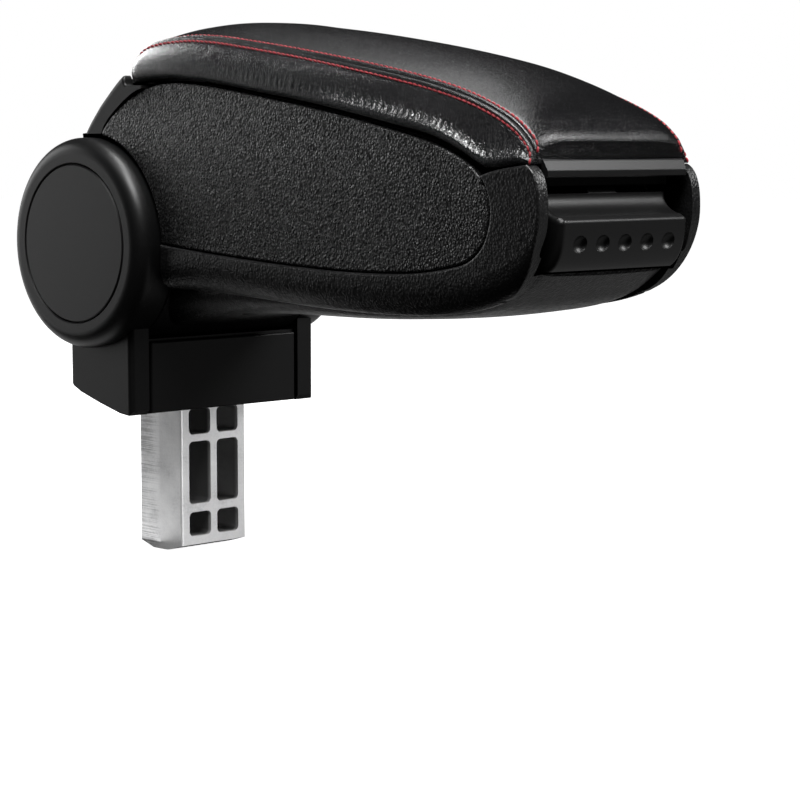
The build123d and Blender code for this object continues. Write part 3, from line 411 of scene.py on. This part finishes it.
def section(x, notch):
    # half section as (outward, up), from the bottom's middle to the crown
    w = half_w(x)
    zl, zs, zq, zc = ZL(x), ZS(x), SEAM(x), CROWN(x)
    h = max(zq - zs, 0.4)
    # ends pull in
    er = 7.5
    d = x - X_REAR
    pull = er - math.sqrt(max(er * er - (er - d) ** 2, 0.0)) if d < er else 0.0
    fr = 3.0
    d = X_FRONT - x
    pull_f = fr - math.sqrt(max(fr * fr - (fr - d) ** 2, 0.0)) if d < fr else 0.0
    kr = max(0.0, 1.0 - (x - X_REAR) / 42.0)
    yo = w - 1.8 + 0.8 * max(0.0, min(1.0, (x - 90.0) / 80.0)) - 0.85 * pull - 0.3 * pull_f - 1.5 * kr ** 2
    st = max(w - 8.1, 40.75 if x > 241.0 else 0.0)
    base = zl
    if notch:
        st, base = 42.4, 74.75
    sy = SEAM_Y - 0.12 * pull
    st = min(st, yo - 2.6)
    up = 0.1 * pull
    pts = []
    for k in range(9):
        pts.append((st * k / 8.0, base))
    lip = min(zs + up, zq - 0.35)
    rb = min(3.4 + 1.2 * kr, (0.26 + 0.08 * kr) * h)
    ax = min(1.9 + 0.7 * kr, 0.6 * rb, yo - st - 1.3)
    pts += [(st + 0.12, min(base - 0.15, lip + 1.6)), (st + 0.3, lip + 0.55), (st + 0.7, lip + 0.12), ((st + yo - ax) / 2, lip), (yo - ax - 0.05, lip)]
    # lower roll, turned under
    for k in range(1, 7):
        t = math.radians(15.0 * k)
        pts.append((yo - ax * (1.0 - math.sin(t)), lip + rb * (1.0 - math.cos(t))))
    # side, lip to seam: flares out at the lip, nearly upright, leans in at the top
    z0 = lip + rb
    total = yo - sy
    f = min(3.0, 0.62 * total) * min(1.0, h / 8.0) * (0.12 + 0.88 * max(0.0, min(1.0, (x - 125.0) / 55.0)))
    for t in SIDE_T[1:]:
        inward = f * (1.0 - math.exp(-t / 0.15)) + (total - f) * (0.08 * t + 0.92 * t ** 2.5) + crinkle(x) * math.exp(-((t - 0.16) / 0.14) ** 2)
        pts.append((yo - inward, z0 + (zq - z0) * t))
    # seam strip, finely divided
    a_side, z_side = pts[-1]
    ppow = 2.3 + 6.0 * max(0.0, min(1.0, (x - 222.0) / 24.0)) ** 2

    def top_z_at(a):
        return zq + (zc - zq) * (1.0 - (min(a, sy) / sy) ** ppow)

    strip = []
    n_side = 14
    for k in range(1, n_side + 1):
        t = k / n_side
        strip.append((a_side + (sy - a_side) * t, z_side + (zq - z_side) * t ** 0.8))
    inner = [0.22, 0.45, 0.7, 1.0, 1.35, 1.7, 2.0, 2.3, 2.6, 2.9, 3.2, 3.6, 4.2]
    top = [(sy - q, top_z_at(sy - q)) for q in inner]
    allp = pts + strip + top
    # relief across the seam
    seam_i = len(pts) + len(strip) - 1
    arr = np.array(allp)
    s = np.concatenate([[0], np.cumsum(np.hypot(np.diff(arr[:, 0]), np.diff(arr[:, 1])))])
    s = s - s[seam_i]
    tang = np.gradient(arr, axis=0)
    nrm = np.stack([tang[:, 1], -tang[:, 0]], 1)
    nrm /= np.maximum(np.linalg.norm(nrm, axis=1, keepdims=True), 1e-9)
    k = min(1.0, h / 6.0)
    for i in range(len(pts) - 4, len(allp)):
        if abs(s[i]) < 5.0:
            arr[i] += nrm[i] * seam_relief(s[i]) * k
    out = [tuple(p) for p in arr]
    a0 = sy - inner[-1]
    for k in range(1, 25):
        a = a0 * (1.0 - k / 24.0)
        out.append((a, top_z_at(a)))
    return out, seam_i, s


def bow(x, a):
    # the front is bowed in plan: its sides stand back
    k = max(0.0, min(1.0, (x - 238.0) / 10.2))
    return x - 1.7 * k * min(1.0, abs(a) / 44.0) ** 3


def stations():
    xs = [X_REAR + q for q in (0.0, 0.08, 0.25, 0.5, 0.85, 1.3, 1.8, 2.4, 3.1, 3.9)]
    x = X_REAR + 4.8
    notch_at = 28.4
    xs = [q for q in xs if q < notch_at - 0.05]
    out = [(q, True) for q in xs] + [(notch_at, True), (notch_at, False)]
    x = 29.2
    while x < X_FRONT - 6.0:
        out.append((x, False))
        x += 0.6 if x > 60.0 else 1.15
    for q in (5.6, 4.8, 4.1, 3.5, 2.9, 2.4, 1.9, 1.5, 1.1, 0.8, 0.5, 0.28, 0.12, 0.03, 0.0):
        out.append((X_FRONT - q, False))
    return out


def build_cushion():
    st = stations()
    rings, rows = [], {k: [] for k in ("ro", "ri", "lo", "li")}
    for x, notch in st:
        half, seam_i, s = section(x, notch)
        right = [at(bow(x, a), -a, z) for a, z in half]
        left = [at(bow(x, a), a, z) for a, z in half]
        ring = right + left[-2:0:-1]
        rings.append(ring)
        arr = np.array(half[:len(s)])
        for key, d in (("o", -ROW), ("i", ROW)):
            a = float(np.interp(d, s, arr[:, 0]))
            z = float(np.interp(d, s, arr[:, 1]))
            j = int(np.argmin(np.abs(s - d)))
            j = min(max(j, 1), len(s) - 2)
            t = arr[j + 1] - arr[j - 1]
            n = np.array([t[1], -t[0]])
            n /= max(np.linalg.norm(n), 1e-9)
            # near the front the stitches stand on a face that looks forward
            fx = 1.4 * max(0.0, min(1.0, (x - 240.0) / 7.5)) ** 2
            rows["r" + key].append((at(bow(x, a), -a, z), (fx, -n[0], n[1])))
            rows["l" + key].append((at(bow(x, a), a, z), (fx, n[0], n[1])))
    m = len(rings[0])
    verts = [p for r in rings for p in r]
    faces = []
    for i in range(len(rings) - 1):
        for j in range(m):
            k = (j + 1) % m
            faces.append((i * m + j, i * m + k, (i + 1) * m + k, (i + 1) * m + j))
    # close each end with strips that join the lower half to the upper half
    half_n = (m + 2) // 2

    def cap(base, flip, first=0):
        for j in range(first, half_n - 1):
            a, b = base + j, base + j + 1
            c, d = base + (m - j - 1) % m, base + (m - j) % m
            q = [a, b, c, d]
            q = [v for i, v in enumerate(q) if v not in q[:i]]
            if len(q) >= 3:
                faces.append(tuple(q if not flip else q[::-1]))

    # the rear end is notched for the hinge: each leg is closed by itself, then the part above the notch
    end = section(*st[0])[0]
    n0 = 8
    top = next(j for j in range(n0 + 7, half_n) if end[j][1] >= end[n0][1])
    faces.append(tuple(range(n0, top + 1)))
    faces.append(tuple((m - j) % m for j in range(top, n0 - 1, -1)))
    faces.append(tuple(range(0, n0 + 1)) + (top, m - top) + tuple(m - j for j in range(n0, 0, -1)))
    cap(0, False, top)
    cap((len(rings) - 1) * m, True)
    me = bpy.data.meshes.new("lid_cushion")
    me.from_pydata(verts, [], faces)
    me.validate()
    me.update()
    ob = bpy.data.objects.new("lid_cushion", me)
    scene.collection.objects.link(ob)
    import bmesh
    bm = bmesh.new()
    bm.from_mesh(me)
    bmesh.ops.remove_doubles(bm, verts=bm.verts, dist=1e-7)
    bmesh.ops.recalc_face_normals(bm, faces=bm.faces)
    bm.to_mesh(me)
    bm.free()
    for p in me.polygons:
        p.use_smooth = True
    me.materials.append(M_LEATHER)
    return ob, rows


cushion, rows = build_cushion()
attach(cushion, "lid")
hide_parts("lid_foam", "top_cover_panel", "right_cover_panel", "left_cover_panel")


# ------------------------------------------------------------------ stitching
def stitch_row(name, path, length=2.5, gap=0.12, r=0.44, lift=0.22, phase=0.0):
    pos = np.array([p for p, _ in path]) * 1000.0
    nrm = np.array([q for _, q in path])
    keep = [0]
    for i in range(1, len(pos)):
        if np.linalg.norm(pos[i] - pos[keep[-1]]) > 0.05:
            keep.append(i)
    pos, nrm = pos[keep], nrm[keep]
    s = np.concatenate([[0], np.cumsum(np.linalg.norm(np.diff(pos, axis=0), axis=1))])

    def sample(u):
        p = np.array([np.interp(u, s, pos[:, k]) for k in range(3)])
        n = np.array([np.interp(u, s, nrm[:, k]) for k in range(3)])
        return p, n / np.linalg.norm(n)

    verts, faces = [], []
    seg, around = 9, 8
    u = 0.6 + phase
    while u + length < s[-1] + 0.05:
        ring0 = len(verts)
        for i in range(seg + 1):
            t = i / seg
            p, n = sample(u + length * t)
            q, _ = sample(min(u + length * t + 0.15, s[-1]))
            d = q - p
            d /= max(np.linalg.norm(d), 1e-9)
            n = n - d * np.dot(n, d)
            n /= np.linalg.norm(n)
            b = np.cross(d, n)
            # thread dives into its needle holes at both ends
            arch = math.sin(math.pi * t) ** 0.45
            rr = r * (0.35 + 0.65 * math.sin(math.pi * min(max(t, 0.02), 0.98)) ** 0.35)
            c = p + n * (lift * arch - 0.34 * (1.0 - arch)) + b * (0.34 * (t - 0.5))
            for k in range(around):
                a = 2 * math.pi * k / around
                v = c + (b * math.cos(a) + n * math.sin(a)) * rr
                verts.append(tuple(v / 1000.0))
        for i in range(seg):
            for k in range(around):
                k2 = (k + 1) % around
                faces.append((ring0 + i * around + k, ring0 + (i + 1) * around + k, ring0 + (i + 1) * around + k2, ring0 + i * around + k2))
        faces.append(tuple(ring0 + k for k in range(around)))
        faces.append(tuple(ring0 + seg * around + k for k in range(around - 1, -1, -1)))
        u += length + gap
    me = bpy.data.meshes.new(name)
    me.from_pydata(verts, [], faces)
    me.update()
    ob = bpy.data.objects.new(name, me)
    scene.collection.objects.link(ob)
    for p in me.polygons:
        p.use_smooth = True
    me.materials.append(M_THREAD)
    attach(ob, "lid")
    return ob


stitch_row("stitch_right_outer", rows["ro"])
stitch_row("stitch_right_inner", rows["ri"], phase=1.4)
stitch_row("stitch_left_outer", rows["lo"])
stitch_row("stitch_left_inner", rows["li"], phase=1.4)


# ------------------------------------------------------------------ stage, light and camera
def area(name, loc, target, size, power, color=(1.0, 1.0, 1.0), size_y=None):
    li = bpy.data.lights.new(name, "AREA")
    li.energy = power
    li.color = color
    li.size = size
    if size_y:
        li.shape = "RECTANGLE"
        li.size_y = size_y
    ob = bpy.data.objects.new(name, li)
    ob.location = loc
    ob.rotation_euler = (Vector(target) - Vector(loc)).to_track_quat("-Z", "Y").to_euler()
    scene.collection.objects.link(ob)
    return ob


AIM = (0.10, 0.0, 0.17)
area("key_front", (0.568, -0.468, 1.23), AIM, 0.5, 13.5)
area("key_top", (0.10, 0.0, 1.42), AIM, 0.5, 10.7)
area("back_right", (0.938, 0.609, 0.869), AIM, 0.5, 9.5)
area("back_top", (-0.368, 0.468, 1.23), AIM, 0.5, 1.6)
area("left_high", (-1.071, -0.314, 0.472), AIM, 0.5, 2.0)
area("left_low", (-1.147, 0.0, 0.083), AIM, 0.5, 0.75)
area("left_card", (-0.98, -0.623, 0.083), AIM, 0.5, 0.75)
area("lip_light", (-0.07, -0.64, 1.23), (0.19, -0.04, 0.18), 0.35, 0.8)
post_fill = area("post_fill", (1.20, -0.05, 0.06), (0.0, 0.0, 0.04), 0.4, 7.6, size_y=0.15)
post_on = bpy.data.collections.new("post_lamp_on")
post_on.objects.link(N["post"])
post_side = area("post_side", (-0.45, 0.35, 0.003), (-0.45, 0.35, 1.0), 0.9, 3.6)
post_side.visible_camera = False
post_fill.light_linking.receiver_collection = post_on
post_side.light_linking.receiver_collection = post_on
# two lamps are flagged off everything but the upholstery
flagged = bpy.data.collections.new("upholstery_lamps_on")
flagged.objects.link(cushion)
for lamp in (area("rear_card", (-1.103, 0.123, 0.638), (0.06, -0.04, 0.21), 0.4, 9.0),
             area("lip_gloss", (0.12, -0.80, 1.12), (0.19, -0.04, 0.18), 0.3, 20.0)):
    lamp.light_linking.receiver_collection = flagged
for name, loc, power in (("floor_card_back", (-0.45, 0.35, 0.003), 1.5), ("floor_card_right", (0.55, 0.45, 0.003), 0.5)):
    glow = area(name, loc, (loc[0], loc[1], 1.0), 0.9, power)
    glow.visible_camera = False

me = bpy.data.meshes.new("floor")
R = 6.0
me.from_pydata([(-R, -R, 0.0), (R, -R, 0.0), (R, R, 0.0), (-R, R, 0.0)], [], [(0, 1, 2, 3)])
floor = bpy.data.objects.new("floor", me)
floor.location = (0.0, 0.0, -0.0005)
scene.collection.objects.link(floor)
mf, nt, bs = new_mat("floor_white")
nf = noise(nt, coords(nt), 3.0, 2.0)
nt.links.new(ramp(nt, nf.outputs["Fac"], [(0.3, (0.84, 0.84, 0.84)), (0.7, (0.86, 0.86, 0.86))]), bs.inputs["Base Color"])
bs.inputs["Roughness"].default_value = 0.9
bs.inputs["Emission Color"].default_value = (1.0, 1.0, 1.0, 1.0)
bs.inputs["Emission Strength"].default_value = 1.0
me.materials.append(mf)
floor.visible_glossy = False
floor.visible_diffuse = False

world = bpy.data.worlds.new("studio")
scene.world = world
world.use_nodes = True
wt = world.node_tree
bg = wt.nodes["Background"]
bg.inputs["Color"].default_value = (1.0, 1.0, 1.0, 1.0)
bg.inputs["Strength"].default_value = 0.01
bg2 = wt.nodes.new("ShaderNodeBackground")
bg2.inputs["Color"].default_value = (1.0, 1.0, 1.0, 1.0)
bg2.inputs["Strength"].default_value = 1.0
lp = wt.nodes.new("ShaderNodeLightPath")
mx = wt.nodes.new("ShaderNodeMixShader")
wt.links.new(lp.outputs["Is Camera Ray"], mx.inputs["Fac"])
wt.links.new(bg.outputs["Background"], mx.inputs[1])
wt.links.new(bg2.outputs["Background"], mx.inputs[2])
wt.links.new(mx.outputs["Shader"], wt.nodes["World Output"].inputs["Surface"])

cam = bpy.data.cameras.new("camera")
cam.sensor_width = 36.0
cam.lens = 108.0
cam.clip_start = 0.01
cam.clip_end = 50.0
cob = bpy.data.objects.new("camera", cam)
cob.location = (0.8203, -0.6888, 0.1776)
cob.rotation_euler = (math.radians(90.0 - 6.03), 0.0, math.radians(45.0))
scene.collection.objects.link(cob)
scene.camera = cob
scene.view_settings.view_transform = "Standard"
scene.view_settings.look = "None"
scene.cycles.use_denoising = True
